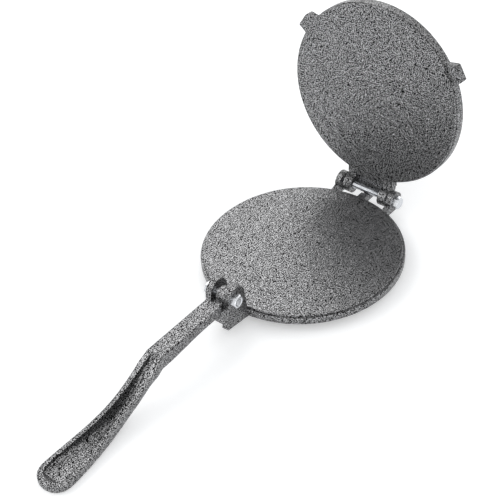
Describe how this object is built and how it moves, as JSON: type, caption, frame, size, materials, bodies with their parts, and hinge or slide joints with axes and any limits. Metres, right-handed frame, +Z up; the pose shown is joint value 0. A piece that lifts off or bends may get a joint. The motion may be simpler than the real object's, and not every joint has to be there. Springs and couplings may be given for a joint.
{
  "type": "tortilla press",
  "caption": "Hand press with round cast plates on a rear hinge, ribbed upper plate, front clevis and a long hollow-backed lever that swings over to squeeze the plates together.",
  "frame": {"origin": "on the table, under the middle of the base plate", "axes": "+X to the right, +Y towards the rear hinge, +Z up; the lever lies along -Y"},
  "size_m": [0.169, 0.4384, 0.1878],
  "materials": {
    "base_paint": "semi-gloss silver-grey hammertone paint on cast iron",
    "lid_paint": "semi-gloss silver-grey hammertone paint on cast iron",
    "lever_paint": "semi-gloss silver-grey hammertone paint on cast iron",
    "zinc_steel": "bright zinc plating"
  },
  "bodies": {
    "base": {"base_plate": "base_paint", "hinge_bolt": "zinc_steel", "pivot_bolt": "zinc_steel", "pivot_nut": "zinc_steel"},
    "top_plate": {"top_plate": "lid_paint"},
    "lever": {"lever_handle": "lever_paint"}
  },
  "joints": [
    {"name": "lid_hinge", "type": "hinge", "parent": "base", "child": "top_plate", "pos_m": [0, 0.0933, 0.0154], "axis": [1, 0, 0], "range_deg": [0, 95.5]},
    {"name": "lever_pivot", "type": "hinge", "parent": "base", "child": "lever", "pos_m": [0, -0.1005, 0.0373], "axis": [-1, 0, 0], "range_deg": [0, 174]}
  ]
}
